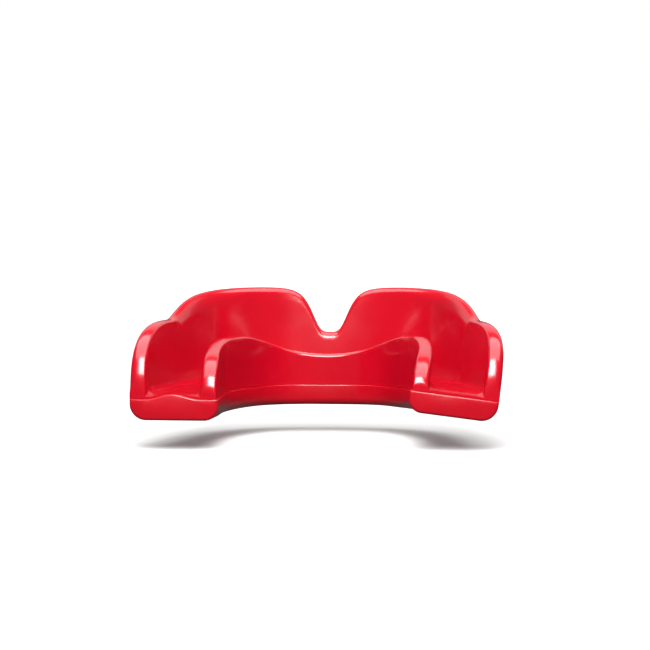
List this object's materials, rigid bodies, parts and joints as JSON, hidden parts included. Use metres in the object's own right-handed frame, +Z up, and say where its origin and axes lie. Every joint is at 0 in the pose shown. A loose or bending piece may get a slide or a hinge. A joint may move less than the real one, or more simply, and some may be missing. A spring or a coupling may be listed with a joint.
{
  "type": "mouthguard",
  "caption": "Boil-and-bite sports mouthguard for the upper teeth: firm base and skin, soft U-shaped tooth channel, cushions under the molars.",
  "frame": {"origin": "centre of the bottom of the overall box, on the table that the base plate rests on", "axes": "+Z up towards the gums, -Y towards the lips, +Y towards the open molar ends, +X towards the wearer's left"},
  "size_m": [0.0622, 0.0508, 0.0204],
  "materials": {
    "firm_rubber": "glossy moulded red rubber, firm grade",
    "soft_rubber": "glossy slightly translucent red rubber, soft grade",
    "cushion_gel": "satin red gel"
  },
  "bodies": {
    "root": {"outer_frame": "firm_rubber", "gel_liner": "soft_rubber", "molar_cushion_left": "cushion_gel", "molar_cushion_right": "cushion_gel"}
  },
  "joints": []
}
